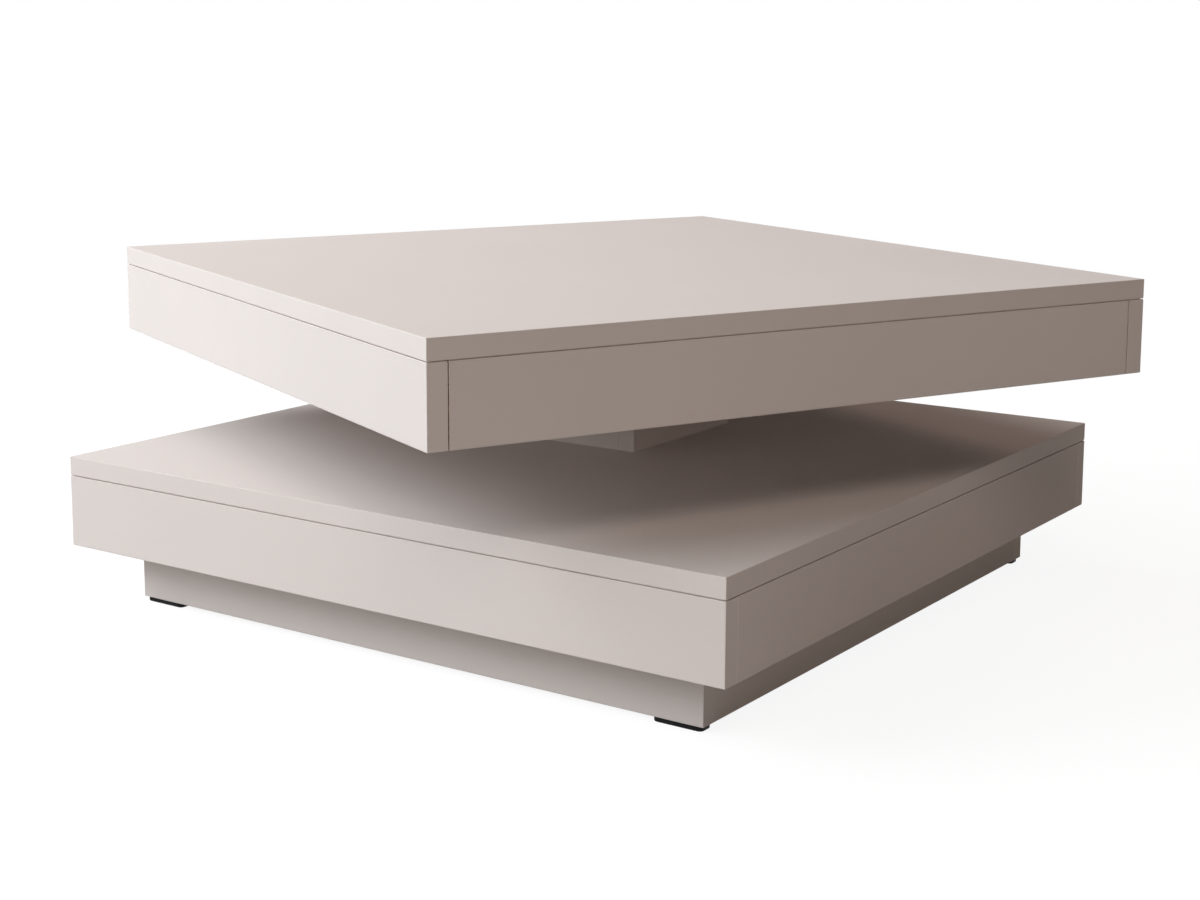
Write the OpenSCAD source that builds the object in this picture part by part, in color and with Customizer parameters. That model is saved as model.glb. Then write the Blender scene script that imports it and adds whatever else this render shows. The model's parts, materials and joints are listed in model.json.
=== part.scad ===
// Square coffee table whose top box swivels over a fixed lower box.
// Millimetres, Z up. The origin is on the floor, on the turning axis. Left is -X and front is -Y.
// The upper box is drawn in line with the lower one and then turned by top_turn.

/* [Table] */
// Width and depth of both boxes
box_w = 780; // [640:1:900]
// Height of the boards that stand under each top panel
apron_h = 74; // [66:1:140]
// Clear height of the shelf between the two boxes
shelf_gap = 98; // [60:1:200]
// Height of the recessed plinth
plinth_h = 57.5; // [50:0.5:100]
// How far the plinth stands back from the lower box
plinth_inset = 50; // [30:1:90]
// Turn of the upper box against the lower one, seen from above
top_turn = -25; // [-180:1:180]

/* [Boards] */
// Thickness of the faced boards
board_t = 19; // [17:0.5:25]
// Thickness of the panel that closes the lower box
floor_t = 16; // [15:0.5:22]
// Radius of the boards' edges
edge_r = 0.5; // [0.4:0.1:1.5]
// Height of the shadow groove under each top panel
groove_h = 1; // [0.5:0.1:3]
// Depth of the shadow groove, from the outer face inwards
groove_d = 2.5; // [1:0.5:5]

/* [Column] */
// Width of the column
column_w = 190; // [160:1:260]
// Depth of the column
column_d = 136; // [110:1:240]
// Middle of the column, measured to the right of the turning axis
column_x = 60; // [0:1:70]
// Distance of the column's screws from its middle
column_screw_x = 50; // [30:1:55]
// Height of the column's dowels above its foot and below its head
column_dowel_z = 40; // [20:1:50]

/* [Inside] */
// Distance of the floor panel's dowels from the middle of each side
floor_dowel_x = 200; // [60:1:230]
// Half the distance between the two dowels at a rail's end
rail_dowel_z = 16; // [10:1:18]

/* [Glides] */
// Thickness of the glides
glide_t = 5; // [4:0.5:10]
// Width of a glide, across its plinth board
glide_w = 17; // [15:0.5:19]
// Length of a glide
glide_l = 45; // [36:1:80]
// Corner radius of a glide
glide_r = 5; // [2:0.5:7]
// Radius of a glide's lower edge
glide_edge_r = 1.2; // [0.5:0.1:2]
// Distance from the plinth's side face to a glide
glide_side = 1.5; // [0:0.5:2]
// Distance from the plinth's end to a glide
glide_end = 5; // [2:1:40]
// Distance of a glide's screws from its middle
glide_screw_y = 10; // [8:0.5:12]

/* [Swivel bearing] */
// Width of the square bearing plates
bearing_w = 152; // [140:1:160]
// Height of the whole bearing
bearing_h = 9; // [8.5:0.1:11]
// Thickness of the pressed plates
plate_t = 1.4; // [1:0.1:1.6]
// Corner radius of the plates
plate_r = 6; // [2:1:10]
// Radius of the circle that the balls run on
race_r = 48; // [40:0.5:50]
// Diameter of the balls
ball_d = 5; // [4:0.1:5]
// Number of balls
ball_n = 20; // [8:1:24]
// Thickness of the ball cage
cage_t = 1.2; // [0.8:0.1:1.4]
// Width of the ball cage's ring
cage_w = 9; // [7:0.5:9]
// Distance of the plates' screws from their edges
plate_screw_edge = 10; // [8:0.5:12]
// How far the carrier board reaches past the bearing
carrier_margin = 9; // [7:0.5:12]

/* [Fittings] */
// Distance from a frame's corner to its nearest dowel
dowel_corner = 98; // [80:1:140]
// Distance from that dowel to the cam beside it
fitting_pitch = 32; // [25:1:50]
// Half the distance between the cam and the dowel at a frame's corner
corner_spread = 16; // [14:0.5:18]
// Diameter of the cams
cam_d = 15; // [12:0.5:15]
// Depth of the cams' bores
cam_depth = 13.5; // [13:0.1:14]
// Distance from a board's edge to its cams' axes
cam_setback = 24; // [20:0.5:34]
// Diameter of the cam bolts' shank and head
bolt_d = 6.5; // [5:0.1:7]
// Diameter of the cam bolts' neck
bolt_neck_d = 4; // [3:0.1:4.5]
// Diameter of the cam bolts' thread
bolt_thread_d = 5; // [4:0.1:6]
// Length of the cam bolts' thread
bolt_thread_l = 11; // [8:0.5:12]
// Diameter of the bore that a cam bolt passes through
bolt_bore_d = 8; // [7.5:0.1:9]
// Diameter of the dowels
dowel_d = 8; // [6:0.5:8]
// Length of the dowels
dowel_l = 30; // [25:1:35]
// How deep a dowel sits in the face of a board
dowel_in_face = 11; // [9:0.5:12]
// Diameter of the long screws' shank
long_screw_d = 7; // [6:0.5:7]
// Diameter of the long screws' thread
long_screw_thread_d = 5; // [4:0.1:5.5]
// Diameter of the long screws' head
long_screw_head_d = 10; // [9:0.5:12]
// Length of the long screws
long_screw_l = 50; // [40:1:60]
// Diameter of the bearing's and the glides' screws
small_screw_d = 3.8; // [3:0.1:4]
// Head diameter of the small screws
small_head_d = 7.4; // [6.5:0.1:8]
// Head height of the bearing's pan-head screws
pan_head_h = 2.1; // [1.5:0.1:2.3]
// Length of the small screws under the head
small_screw_l = 14; // [12:1:16]

/* [Hidden] */
$fn = 48;

// Radial clearance of dowels, cams and screws in their bores
fit_gap = 0.1;
// Free length left at the blind end of a bore
end_gap = 0.5;
// How far a cut runs past the face that it opens
cut_over = 1;
// Clearance between parts of the bearing that turn against each other
run_gap = 0.3;
// Radial clearance of the upper plate's collar inside the lower plate's lip
collar_gap = 0.4;
// Thickness of the collar's turned-out foot, and how far it reaches under the lip
flange_t = 1.2;
flange_reach = 2.6;
// Width of the lip, of the shoulder outside the race and of the ramp down to the flat
lip_w = 3.4;
shoulder_w = 5.5;
ramp_w = 3.5;
// Overlap that joins two stretches of a pressed section
join_over = 0.01;
// Clearance of the balls in the cage's pockets
pocket_gap = 0.15;
// Clearance of a screw in a steel plate or a glide
screw_gap = 0.2;
// Length of a cam bolt's head, and how far it reaches past the cam's axis
bolt_head_l = 3;
bolt_head_past = 1;
// Chamfer of a cam bolt's head, and height of its pointed thread end
bolt_chamfer = 0.6;
bolt_point = 1.5;
// Clearance of a cam bolt inside its cam
cam_gap = 0.35;
// Chamfer at the ends of the dowels
dowel_chamfer = 1;
// Long screws: height of the countersunk head and of the rim above its cone
long_head_h = 4;
long_rim_h = 1;
// Long screws: end of the shank's taper, length and inset of the point, and width of the hex drive
long_neck_z = 2;
long_point_l = 3;
long_point_in = 1.2;
hex_drive_d = 4;
// Glide screws: length and end radius of the point
sunk_point_l = 2;
sunk_point_r = 0.4;
// Depth of a glide screw's head below the glide's sole, and height of its countersunk cone
sole_recess = 1;
cone_h = 2;
// Depth and width of the drive recesses in cams and screws
drive_h = 1.2;
drive_w = 1.2;
// Reach of a cross drive from its middle, as a share of the head's diameter
drive_share = 0.3;
// Facets of the bearing's rings and of its balls
ring_fn = 96;
ball_fn = 24;

plinth_w = box_w - 2 * plinth_inset;
plinth_z = glide_t;
lower_z = plinth_z + plinth_h;
lower_panel_z = lower_z + apron_h;
shelf_z = lower_panel_z + board_t;
upper_z = shelf_z + shelf_gap;
upper_panel_z = upper_z + apron_h;
carrier_top_z = upper_panel_z - bearing_h;
carrier_z = carrier_top_z - board_t;

column_h = carrier_z - shelf_z;
column_left_x = column_x - column_w / 2;
column_right_x = column_x + column_w / 2;
column_side_y = column_d / 2 - board_t / 2;
carrier_half = bearing_w / 2 + carrier_margin;
carrier_right_x = max(carrier_half, column_right_x);

rail_h = apron_h - floor_t;
rail_z = lower_z + floor_t;
rail_left_x = column_left_x + board_t / 2;
rail_right_x = column_right_x - board_t / 2;

cam_corner = dowel_corner + fitting_pitch;
plate_screw_x = bearing_w / 2 - plate_screw_edge;

groove_r = ball_d / 2 + run_gap;
race_outer_r = groove_r + plate_t;
shoulder_z = run_gap + flange_t + run_gap;
shoulder_r = race_r + shoulder_w;
ramp_end_r = shoulder_r + ramp_w;
lip_r = race_r - race_outer_r - lip_w;
collar_r = lip_r - collar_gap;
flange_r = lip_r + flange_reach;

board_colour = [0.86, 0.83, 0.81];
raw_colour = [0.78, 0.68, 0.54];
beech_colour = [0.84, 0.68, 0.47];
zinc_colour = [0.70, 0.71, 0.73];
steel_colour = [0.62, 0.64, 0.67];
cage_colour = [0.90, 0.90, 0.86];
glide_colour = [0.05, 0.05, 0.05];

// Rectangle with round corners, centred
module rounded_rect(a, b, r) {
    square([a - 2 * r, b], center = true);
    square([a, b - 2 * r], center = true);
    for (x = [-1, 1], y = [-1, 1])
        translate([x * (a / 2 - r), y * (b / 2 - r)]) circle(r);
}

// Board with every edge rounded, centred in plan and standing on z = 0
module board(size) {
    intersection() {
        linear_extrude(size.z) rounded_rect(size.x, size.y, edge_r);
        translate([0, size.y / 2, size.z / 2])
            rotate([90, 0, 0]) linear_extrude(size.y) rounded_rect(size.x, size.z, edge_r);
        translate([-size.x / 2, 0, size.z / 2])
            rotate([90, 0, 90]) linear_extrude(size.x) rounded_rect(size.y, size.z, edge_r);
    }
}

// Block centred in plan and standing on z = 0
module block(size) {
    translate([-size.x / 2, -size.y / 2, 0]) cube(size);
}

// Joint frames. In each, z = 0 is the plane where two boards meet, +Z points into the board that is
// met on its face, -Z runs into the edge of the other one, and +X points to that one's inner face.

module side_joint(w, z, sx, from_corner) {
    for (sy = [-1, 1])
        translate([sx * (w / 2 - board_t / 2), sy * (w / 2 - from_corner), z])
            rotate([0, 0, sx < 0 ? 0 : 180]) children();
}

module cross_joint(w, z, sy, from_corner) {
    for (sx = [-1, 1])
        translate([sx * (w / 2 - from_corner), sy * (w / 2 - board_t / 2), z])
            rotate([0, 0, sy < 0 ? 90 : -90]) children();
}

module corner_joint(w, z, sx, sy) {
    translate([sx * (w / 2 - board_t), sy * (w / 2 - board_t / 2), z])
        rotate([0, 90 * sx, 0]) rotate([0, 0, -90 * sy]) children();
}

// Joint of a board's end with the inner face of a cross board, at x
module end_joint(w, x, z, sy) {
    translate([x, sy * (w / 2 - board_t), z]) rotate([-90 * sy, 0, 0]) children();
}

// Joint of the floor panel's edge with the inner face of a side board
module floor_side_joint(sx) {
    for (y = [-floor_dowel_x, floor_dowel_x])
        translate([sx * (box_w / 2 - board_t), y, lower_z + floor_t / 2]) rotate([0, 90 * sx, 0]) children();
}

module floor_cross_joint(sy) {
    for (x = [-floor_dowel_x, floor_dowel_x])
        end_joint(box_w, x, lower_z + floor_t / 2, sy) children();
}

module rail_joint(x, sy) {
    for (z = [-rail_dowel_z, rail_dowel_z])
        end_joint(box_w, x, rail_z + rail_h / 2 + z, sy) children();
}

module stretcher_joint(sy) {
    for (z = [-corner_spread, corner_spread])
        end_joint(plinth_w, 0, plinth_z + plinth_h / 2 + z, sy) children();
}

// Joints of the column's side boards with the inner faces of its front and back boards
module column_joint(x, sy) {
    for (z = [shelf_z + column_dowel_z, carrier_z - column_dowel_z])
        translate([x, sy * (column_d / 2 - board_t), z]) rotate([-90 * sy, 0, 0]) children();
}

// Places of the long screws in the column's front and back boards, seen from z = 0 of the joint
module column_screw_joint(z, sy, up) {
    for (x = [-column_screw_x, column_screw_x])
        translate([column_x + x, sy * column_side_y, z]) rotate([up ? 0 : 180, 0, 0]) children();
}

module plate_corners(z) {
    for (x = [-plate_screw_x, plate_screw_x], y = [-plate_screw_x, plate_screw_x])
        translate([x, y, z]) children();
}

// Fittings

module dowel() {
    r = dowel_d / 2;
    c = dowel_chamfer;
    translate([0, 0, dowel_in_face - dowel_l])
        rotate_extrude() polygon([[0, 0], [r - c, 0], [r, c], [r, dowel_l - c], [r - c, dowel_l], [0, dowel_l]]);
}

module dowel_face_bore() {
    translate([0, 0, -cut_over]) cylinder(d = dowel_d + 2 * fit_gap, h = dowel_in_face + end_gap + cut_over);
}

module dowel_edge_bore() {
    depth = dowel_l - dowel_in_face + end_gap;
    translate([0, 0, -depth]) cylinder(d = dowel_d + 2 * fit_gap, h = depth + cut_over);
}

// Cam bolt: thread up into the face, then shank, neck and head down to the cam
module cam_bolt() {
    shank = cam_setback - cam_d / 2 - end_gap;
    head = cam_setback + bolt_head_past - bolt_head_l;
    tip = head + bolt_head_l;
    rotate_extrude()
        polygon([
            [0, -tip], [bolt_d / 2 - bolt_chamfer, -tip], [bolt_d / 2, bolt_chamfer - tip], [bolt_d / 2, -head],
            [bolt_neck_d / 2, -head], [bolt_neck_d / 2, -shank], [bolt_d / 2, -shank], [bolt_d / 2, 0],
            [bolt_thread_d / 2, 0], [bolt_thread_d / 2, bolt_thread_l - bolt_point],
            [bolt_thread_d / 2 - bolt_point, bolt_thread_l], [0, bolt_thread_l]]);
}

module bolt_face_bore() {
    translate([0, 0, -cut_over]) cylinder(d = bolt_thread_d + 2 * fit_gap, h = bolt_thread_l + end_gap + cut_over);
}

module bolt_edge_bore() {
    translate([0, 0, -cam_setback]) cylinder(d = bolt_bore_d, h = cam_setback + cut_over);
}

// Cam: a drum with a pocket for the bolt's head, a slot for its neck and a cross drive
module cam() {
    drum_x = board_t / 2 - cam_depth + fit_gap;
    drum_h = cam_depth - 2 * fit_gap;
    head_r = bolt_d / 2 + cam_gap;
    neck_r = bolt_neck_d / 2 + cam_gap;
    head_z = -(cam_setback + bolt_head_past + cam_gap);
    pocket_h = bolt_head_l + 2 * cam_gap;
    difference() {
        translate([drum_x, 0, -cam_setback]) rotate([0, 90, 0]) cylinder(d = cam_d - 2 * fit_gap, h = drum_h);
        translate([drum_x - cut_over, -head_r, head_z]) cube([head_r - drum_x + cut_over, 2 * head_r, pocket_h]);
        translate([drum_x - cut_over, -neck_r, head_z]) cube([neck_r - drum_x + cut_over, 2 * neck_r, cam_d]);
        for (turn = [0, 90])
            translate([drum_x + drum_h - drive_h, 0, -cam_setback]) rotate([turn, 0, 0])
                translate([0, -drive_w / 2, -cam_d * drive_share])
                    cube([drive_h + cut_over, drive_w, 2 * cam_d * drive_share]);
    }
}

module cam_bore() {
    translate([board_t / 2 - cam_depth, 0, -cam_setback])
        rotate([0, 90, 0]) cylinder(d = cam_d + 2 * fit_gap, h = cam_depth + cut_over);
}

// Long screw: head flush with the far side of a board, thread up into another board's edge
module long_screw() {
    tip = long_screw_l - board_t;
    head_r = long_screw_head_d / 2;
    r = long_screw_d / 2;
    thread_r = long_screw_thread_d / 2;
    difference() {
        rotate_extrude()
            polygon([
                [0, -board_t], [head_r, -board_t], [head_r, long_rim_h - board_t], [r, long_head_h - board_t],
                [r, -end_gap], [thread_r, long_neck_z], [thread_r, tip - long_point_l],
                [thread_r - long_point_in, tip], [0, tip]]);
        translate([0, 0, -board_t - cut_over]) cylinder(d = hex_drive_d, h = 2 * drive_h + cut_over, $fn = 6);
    }
}

module long_screw_bore() {
    tip = long_screw_l - board_t;
    g = fit_gap;
    head_r = long_screw_head_d / 2 + g;
    r = long_screw_d / 2 + g;
    thread_r = long_screw_thread_d / 2 + g;
    rotate_extrude()
        polygon([
            [0, -board_t - cut_over], [head_r, -board_t - cut_over], [head_r, long_rim_h - board_t + g],
            [r, long_head_h - board_t + g], [r, 0], [thread_r, long_neck_z + g], [thread_r, tip + end_gap],
            [0, tip + end_gap]]);
}

// Pan-head screw: z = 0 is the seat of its head, the shank runs down
module pan_screw() {
    difference() {
        union() {
            translate([0, 0, -small_screw_l]) cylinder(d = small_screw_d, h = small_screw_l + pan_head_h / 2);
            cylinder(d = small_head_d, h = pan_head_h / 2);
            translate([0, 0, pan_head_h / 2])
                cylinder(d1 = small_head_d, d2 = small_head_d - pan_head_h, h = pan_head_h / 2);
        }
        for (turn = [0, 90])
            rotate([0, 0, turn]) translate([-small_head_d * drive_share, -drive_w / 2, pan_head_h - drive_h])
                cube([2 * small_head_d * drive_share, drive_w, drive_h + cut_over]);
    }
}

// Countersunk screw: z = 0 is the top of its cone, where the shank starts, and the head faces down
module sunk_screw() {
    shank = small_screw_l - cone_h;
    difference() {
        rotate_extrude()
            polygon([
                [0, -cone_h], [small_head_d / 2, -cone_h], [small_screw_d / 2, 0],
                [small_screw_d / 2, shank - sunk_point_l], [sunk_point_r, shank], [0, shank]]);
        for (turn = [0, 90])
            rotate([0, 0, turn]) translate([-small_head_d * drive_share, -drive_w / 2, -cone_h - cut_over])
                cube([2 * small_head_d * drive_share, drive_w, drive_h + cut_over]);
    }
}

// Frames of four boards under a plate

module side_shape(w, z, h, groove, sx) {
    translate([sx * (w / 2 - board_t / 2), 0, z]) {
        board([board_t, w, h - groove]);
        if (groove > 0)
            translate([-sx * groove_d / 2, 0, h - groove - edge_r])
                block([board_t - groove_d, w - 2 * groove_d, groove + edge_r]);
    }
}

module cross_shape(w, z, h, groove, sy) {
    translate([0, sy * (w / 2 - board_t / 2), z]) {
        board([w - 2 * board_t, board_t, h - groove]);
        if (groove > 0)
            translate([0, -sy * groove_d / 2, h - groove - edge_r])
                block([w - 2 * board_t, board_t - groove_d, groove + edge_r]);
    }
}

module frame_side(w, z, h, groove, sx) {
    difference() {
        side_shape(w, z, h, groove, sx);
        side_joint(w, z + h, sx, cam_corner) {
            bolt_edge_bore();
            cam_bore();
        }
        side_joint(w, z + h, sx, dowel_corner) dowel_edge_bore();
        for (sy = [-1, 1]) {
            corner_joint(w, z + h / 2 - corner_spread, sx, sy) bolt_face_bore();
            corner_joint(w, z + h / 2 + corner_spread, sx, sy) dowel_face_bore();
        }
    }
}

module frame_cross(w, z, h, groove, sy) {
    difference() {
        cross_shape(w, z, h, groove, sy);
        cross_joint(w, z + h, sy, cam_corner) {
            bolt_edge_bore();
            cam_bore();
        }
        cross_joint(w, z + h, sy, dowel_corner) dowel_edge_bore();
        for (sx = [-1, 1]) {
            corner_joint(w, z + h / 2 - corner_spread, sx, sy) {
                bolt_edge_bore();
                cam_bore();
            }
            corner_joint(w, z + h / 2 + corner_spread, sx, sy) dowel_edge_bore();
        }
    }
}

// Every place of a frame's cams and bolts
module frame_cam_joints(w, z, h) {
    for (s = [-1, 1]) {
        side_joint(w, z + h, s, cam_corner) children();
        cross_joint(w, z + h, s, cam_corner) children();
        for (sy = [-1, 1]) corner_joint(w, z + h / 2 - corner_spread, s, sy) children();
    }
}

module frame_dowel_joints(w, z, h) {
    for (s = [-1, 1]) {
        side_joint(w, z + h, s, dowel_corner) children();
        cross_joint(w, z + h, s, dowel_corner) children();
        for (sy = [-1, 1]) corner_joint(w, z + h / 2 + corner_spread, s, sy) children();
    }
}

// Bores that a frame's bolts and dowels need in the plate on top of it
module plate_bores(w, z) {
    for (s = [-1, 1]) {
        side_joint(w, z, s, cam_corner) bolt_face_bore();
        cross_joint(w, z, s, cam_corner) bolt_face_bore();
        side_joint(w, z, s, dowel_corner) dowel_face_bore();
        cross_joint(w, z, s, dowel_corner) dowel_face_bore();
    }
}

// Glides

module glide_place(sx, sy) {
    translate([sx * (plinth_w / 2 - glide_side - glide_w / 2), sy * (plinth_w / 2 - glide_end - glide_l / 2), 0])
        children();
}

// Rectangle whose lower corners are round, standing on y = 0
module sole_profile(a) {
    r = glide_edge_r;
    translate([-a / 2, r]) square([a, glide_t - r]);
    translate([r - a / 2, 0]) square([a - 2 * r, glide_t]);
    for (x = [-1, 1]) translate([x * (a / 2 - r), r]) circle(r);
}

module glide(sx, sy) {
    color(glide_colour)
        glide_place(sx, sy) difference() {
            intersection() {
                linear_extrude(glide_t) rounded_rect(glide_w, glide_l, glide_r);
                translate([0, glide_l / 2, 0]) rotate([90, 0, 0]) linear_extrude(glide_l) sole_profile(glide_w);
                translate([-glide_w / 2, 0, 0]) rotate([90, 0, 90]) linear_extrude(glide_w) sole_profile(glide_l);
            }
            for (y = [-glide_screw_y, glide_screw_y])
                translate([0, y, sole_recess + cone_h]) glide_screw_bore(small_head_d / 2 + screw_gap);
        }
}

// Bore through a glide for one countersunk screw, with z = 0 at the top of the cone
module glide_screw_bore(head_r) {
    r = small_screw_d / 2 + screw_gap;
    rotate_extrude()
        polygon([
            [0, -cone_h - sole_recess - cut_over], [head_r, -cone_h - sole_recess - cut_over], [head_r, -cone_h],
            [r, 0], [r, glide_t], [0, glide_t]]);
}

module glide_screw_places(sx, sy) {
    for (y = [-glide_screw_y, glide_screw_y])
        glide_place(sx, sy) translate([0, y, sole_recess + cone_h]) children();
}

module glide_screws() {
    color(zinc_colour)
        for (sx = [-1, 1], sy = [-1, 1]) glide_screw_places(sx, sy) sunk_screw();
}

module glide_screw_pilot() {
    cylinder(d = small_screw_d + 2 * fit_gap, h = small_screw_l - cone_h + end_gap);
}

// Plinth

module plinth_side(sx) {
    color(board_colour)
        difference() {
            frame_side(plinth_w, plinth_z, plinth_h, 0, sx);
            for (sy = [-1, 1]) glide_screw_places(sx, sy) glide_screw_pilot();
        }
}

module plinth_cross(sy) {
    color(board_colour)
        difference() {
            frame_cross(plinth_w, plinth_z, plinth_h, 0, sy);
            stretcher_joint(sy) dowel_face_bore();
        }
}

module plinth_stretcher() {
    color(board_colour)
        difference() {
            translate([0, 0, plinth_z]) board([board_t, plinth_w - 2 * board_t, plinth_h]);
            for (sy = [-1, 1]) stretcher_joint(sy) dowel_edge_bore();
        }
}

module plinth_cams() {
    color(zinc_colour) frame_cam_joints(plinth_w, plinth_z, plinth_h) cam();
}

module plinth_cam_bolts() {
    color(zinc_colour) frame_cam_joints(plinth_w, plinth_z, plinth_h) cam_bolt();
}

module plinth_dowels() {
    color(beech_colour) {
        frame_dowel_joints(plinth_w, plinth_z, plinth_h) dowel();
        for (sy = [-1, 1]) stretcher_joint(sy) dowel();
    }
}

// Lower box

module lower_side(sx) {
    color(board_colour)
        difference() {
            frame_side(box_w, lower_z, apron_h, groove_h, sx);
            floor_side_joint(sx) dowel_face_bore();
        }
}

module lower_cross(sy) {
    color(board_colour)
        difference() {
            frame_cross(box_w, lower_z, apron_h, groove_h, sy);
            floor_cross_joint(sy) dowel_face_bore();
            for (x = [rail_left_x, rail_right_x]) rail_joint(x, sy) dowel_face_bore();
        }
}

module lower_floor_panel() {
    inner_w = box_w - 2 * board_t;
    color(raw_colour)
        difference() {
            translate([0, 0, lower_z]) block([inner_w, inner_w, floor_t]);
            plate_bores(plinth_w, lower_z);
            for (s = [-1, 1]) {
                floor_side_joint(s) dowel_edge_bore();
                floor_cross_joint(s) dowel_edge_bore();
            }
        }
}

module lower_rail(x) {
    color(raw_colour)
        difference() {
            translate([x, 0, rail_z]) block([board_t, box_w - 2 * board_t, rail_h]);
            for (sy = [-1, 1]) rail_joint(x, sy) dowel_edge_bore();
        }
}

module lower_top_panel() {
    color(board_colour)
        difference() {
            translate([0, 0, lower_panel_z]) board([box_w, box_w, board_t]);
            plate_bores(box_w, lower_panel_z);
            for (sy = [-1, 1]) column_screw_joint(shelf_z, sy, true) long_screw_bore();
        }
}

module lower_cams() {
    color(zinc_colour) frame_cam_joints(box_w, lower_z, apron_h) cam();
}

module lower_cam_bolts() {
    color(zinc_colour) frame_cam_joints(box_w, lower_z, apron_h) cam_bolt();
}

module lower_dowels() {
    color(beech_colour) frame_dowel_joints(box_w, lower_z, apron_h) dowel();
}

module inner_dowels() {
    color(beech_colour)
        for (s = [-1, 1]) {
            floor_side_joint(s) dowel();
            floor_cross_joint(s) dowel();
            for (x = [rail_left_x, rail_right_x]) rail_joint(x, s) dowel();
        }
}

// Column and carrier

module column_cross(sy) {
    color(board_colour)
        difference() {
            translate([column_x, sy * column_side_y, shelf_z]) board([column_w, board_t, column_h]);
            for (x = [rail_left_x, rail_right_x]) column_joint(x, sy) dowel_face_bore();
            column_screw_joint(shelf_z, sy, true) long_screw_bore();
            column_screw_joint(carrier_z, sy, false) long_screw_bore();
        }
}

module column_side(x) {
    color(board_colour)
        difference() {
            translate([x, 0, shelf_z]) board([board_t, column_d - 2 * board_t, column_h]);
            for (sy = [-1, 1]) column_joint(x, sy) dowel_edge_bore();
        }
}

module column_dowels() {
    color(beech_colour)
        for (x = [rail_left_x, rail_right_x], sy = [-1, 1]) column_joint(x, sy) dowel();
}

module column_screws() {
    color(zinc_colour)
        for (sy = [-1, 1]) column_screw_joint(shelf_z, sy, true) long_screw();
}

module swivel_carrier() {
    w = carrier_half + carrier_right_x;
    color(raw_colour)
        difference() {
            translate([(carrier_right_x - carrier_half) / 2, 0, carrier_z]) block([w, 2 * carrier_half, board_t]);
            for (sy = [-1, 1]) column_screw_joint(carrier_z, sy, false) long_screw_bore();
            plate_corners(carrier_top_z) bearing_pilot();
        }
}

module carrier_screws() {
    color(zinc_colour)
        for (sy = [-1, 1]) column_screw_joint(carrier_z, sy, false) long_screw();
}

// Swivel bearing: two pressed plates that face each other over a ring of balls

// Pilot bore for a bearing screw, down from z = 0
module bearing_pilot() {
    depth = small_screw_l - plate_t + end_gap;
    translate([0, 0, -depth]) cylinder(d = small_screw_d + 2 * fit_gap, h = depth + cut_over);
}

// Flat of a pressed plate, outside the formed ring
module plate_flat() {
    linear_extrude(plate_t) difference() {
        rounded_rect(bearing_w, bearing_w, plate_r);
        circle(ramp_end_r + plate_t / 2, $fn = ring_fn);
        for (x = [-1, 1], y = [-1, 1])
            translate([x * plate_screw_x, y * plate_screw_x]) circle(small_screw_d / 2 + screw_gap);
    }
}

// Section of the formed ring: flat, ramp, outer shoulder, ball groove and inner shoulder to inner_r
module ring_section(inner_r) {
    top = shoulder_z + plate_t;
    square_from = race_outer_r - plate_t / 2;
    translate([ramp_end_r - join_over, 0]) square([plate_t, plate_t]);
    polygon([[shoulder_r, shoulder_z], [ramp_end_r, 0], [ramp_end_r, plate_t], [shoulder_r, top]]);
    translate([race_r + square_from, shoulder_z]) square([shoulder_w - square_from, plate_t]);
    translate([inner_r, shoulder_z]) square([race_r - square_from - inner_r, plate_t]);
    difference() {
        translate([race_r, bearing_h / 2]) circle(race_outer_r);
        translate([race_r, bearing_h / 2]) circle(groove_r);
        translate([race_r - 2 * race_outer_r, top]) square([4 * race_outer_r, bearing_h]);
    }
}

module bearing_lower_plate() {
    color(steel_colour)
        translate([0, 0, carrier_top_z]) {
            plate_flat();
            rotate_extrude($fn = ring_fn) ring_section(lip_r);
        }
}

// The upper plate's collar passes through the lower plate and turns out under its lip
module bearing_upper_plate() {
    color(steel_colour)
        rotate([0, 0, top_turn]) {
            translate([0, 0, upper_panel_z]) mirror([0, 0, 1]) {
                plate_flat();
                rotate_extrude($fn = ring_fn) ring_section(collar_r - plate_t);
            }
            translate([0, 0, carrier_top_z + run_gap]) rotate_extrude($fn = ring_fn) {
                translate([collar_r - plate_t, 0])
                    square([plate_t, bearing_h - run_gap - shoulder_z - plate_t / 2]);
                translate([collar_r - plate_t, 0]) square([flange_r - collar_r + plate_t, flange_t]);
            }
        }
}

module ball_places() {
    for (i = [0 : ball_n - 1])
        rotate([0, 0, i * 360 / ball_n]) translate([race_r, 0, carrier_top_z + bearing_h / 2]) children();
}

module bearing_balls() {
    color(steel_colour) ball_places() sphere(d = ball_d, $fn = ball_fn);
}

module ball_cage() {
    color(cage_colour)
        difference() {
            translate([0, 0, carrier_top_z + bearing_h / 2 - cage_t / 2])
                linear_extrude(cage_t) difference() {
                    circle(race_r + cage_w / 2, $fn = ring_fn);
                    circle(race_r - cage_w / 2, $fn = ring_fn);
                }
            ball_places() translate([0, 0, -cage_t]) cylinder(d = ball_d + 2 * pocket_gap, h = 2 * cage_t);
        }
}

module bearing_lower_screws() {
    color(zinc_colour) plate_corners(carrier_top_z + plate_t) pan_screw();
}

module bearing_upper_screws() {
    color(zinc_colour)
        rotate([0, 0, top_turn]) plate_corners(upper_panel_z - plate_t) rotate([180, 0, 0]) pan_screw();
}

// Upper box

module upper_side(sx) {
    color(board_colour) rotate([0, 0, top_turn]) frame_side(box_w, upper_z, apron_h, groove_h, sx);
}

module upper_cross(sy) {
    color(board_colour) rotate([0, 0, top_turn]) frame_cross(box_w, upper_z, apron_h, groove_h, sy);
}

module upper_top_panel() {
    color(board_colour)
        rotate([0, 0, top_turn]) difference() {
            translate([0, 0, upper_panel_z]) board([box_w, box_w, board_t]);
            plate_bores(box_w, upper_panel_z);
            plate_corners(upper_panel_z) mirror([0, 0, 1]) bearing_pilot();
        }
}

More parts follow.
